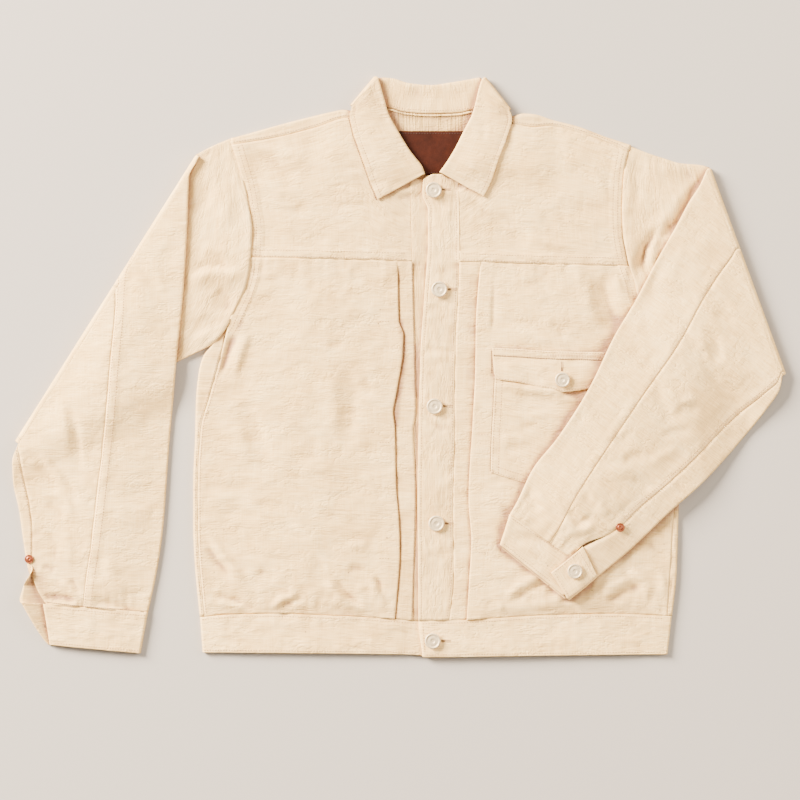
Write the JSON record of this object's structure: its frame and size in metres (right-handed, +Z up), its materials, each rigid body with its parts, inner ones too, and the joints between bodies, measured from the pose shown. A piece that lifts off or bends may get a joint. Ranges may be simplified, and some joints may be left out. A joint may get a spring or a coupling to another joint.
{
  "type": "denim jacket",
  "caption": "Button-front denim jacket laid flat on its back, with a fold-down collar, a chest pocket with a flap, one front pleat a side, cuffs and both sleeves folded over.",
  "frame": {"origin": "middle of the jacket's outline, on the surface it lies on", "axes": "+X to the wearer's left along the widest span of the sleeves, +Y from the hem towards the collar, +Z up from the surface through the layers"},
  "size_m": [0.8195, 0.6161, 0.0227],
  "materials": {
    "denim": "undyed cotton twill, matt, with small creases",
    "button_metal": "satin silver-white shank buttons",
    "rivet_copper": "plain copper, lightly worn",
    "label_leather": "matt brown hide, left bare"
  },
  "bodies": {
    "root": {"back_panel": "denim", "back_yoke": "denim", "front_yoke_right": "denim", "front_yoke_left": "denim", "front_right": "denim", "front_left": "denim", "placket_right": "denim", "placket_left": "denim", "waistband": "denim", "pocket": "denim", "pocket_flap": "denim", "collar": "denim", "neck_label": "label_leather", "sleeve_right_top": "denim", "sleeve_right_under": "denim", "sleeve_left_top": "denim", "sleeve_left_under": "denim", "cuff_right": "denim", "cuff_left": "denim", "button_1": "button_metal", "button_2": "button_metal", "button_3": "button_metal", "button_4": "button_metal", "button_5": "button_metal", "button_pocket": "button_metal", "button_cuff": "button_metal", "rivet_right": "rivet_copper", "rivet_left": "rivet_copper"}
  },
  "joints": []
}
